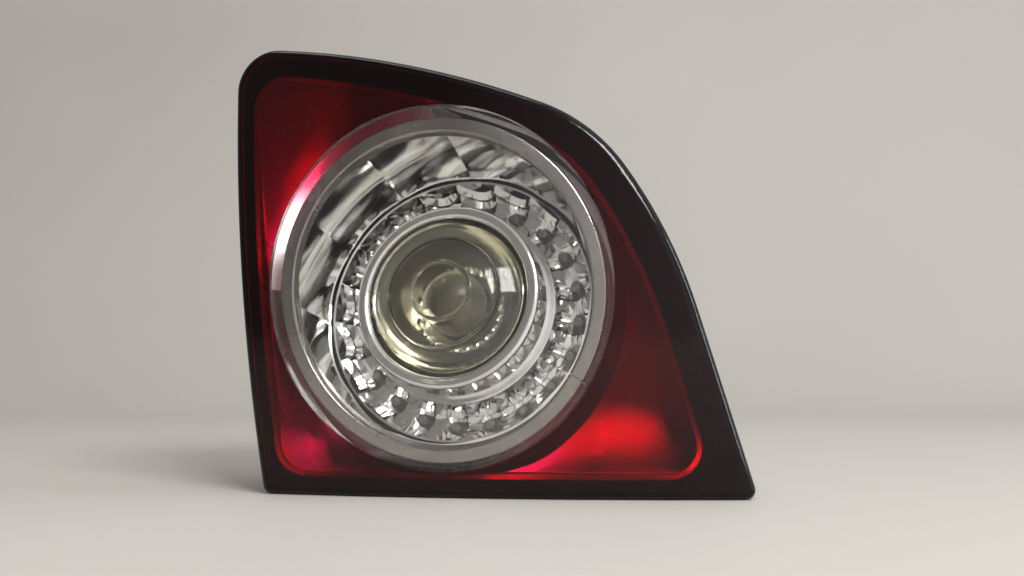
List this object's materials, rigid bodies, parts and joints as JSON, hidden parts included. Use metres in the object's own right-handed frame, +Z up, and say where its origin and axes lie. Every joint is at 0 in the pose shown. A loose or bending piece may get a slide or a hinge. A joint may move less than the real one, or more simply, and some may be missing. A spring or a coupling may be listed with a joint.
{
  "type": "tail light cluster",
  "caption": "Car rear lamp with a red bulged lens round one clear round window, a bright fluted bowl, a ring of light-source cups and a domed bulb unit.",
  "frame": {"origin": "middle of the lamp's bounding box in plan, at the level of the lens's bottom edge", "axes": "+X to the right seen from the front, lens facing -Y and studs pointing +Y, +Z up"},
  "size_m": [0.1964, 0.1, 0.172],
  "materials": {
    "red_lens": "clear red, glossy",
    "clear_plastic": "clear, glossy",
    "border_black": "glossy black",
    "bright_panel": "metallised, slightly soft",
    "trim_metal": "metallised, satin",
    "bright_chrome": "metallised, mirror bright",
    "board": "lacquered board",
    "light_source": "pale moulded",
    "dome_plastic": "clear, faintly yellowed",
    "bulb_glass": "clear",
    "cap_metal": "plated",
    "wire": "drawn",
    "holder_plastic": "moulded grey",
    "seal_rubber": "matt",
    "carrier_plastic": "moulded black",
    "housing_plastic": "moulded black, fine grain",
    "foam": "open foam",
    "stud_steel": "zinc plated",
    "connector_plastic": "moulded black",
    "pin_metal": "tin plated",
    "vent_rubber": "matt"
  },
  "bodies": {
    "root": {"red_lens": "red_lens", "clear_window": "clear_plastic", "border_frame": "border_black", "inner_bezel": "bright_panel", "trim_ring": "trim_metal", "main_reflector": "bright_chrome", "petal_ring": "bright_chrome", "led_board": "board", "leds": "light_source", "center_tube": "bright_chrome", "dome_lens": "dome_plastic", "bulb_reflector": "bright_chrome", "bulb_glass": "bulb_glass", "bulb_cap": "cap_metal", "filament": "wire", "bulb_holder": "holder_plastic", "holder_seal": "seal_rubber", "carrier": "carrier_plastic", "housing": "housing_plastic", "gasket": "foam", "mounting_studs": "stud_steel", "connector_socket": "connector_plastic", "connector_pins": "pin_metal", "vent_cap": "vent_rubber"}
  },
  "joints": []
}
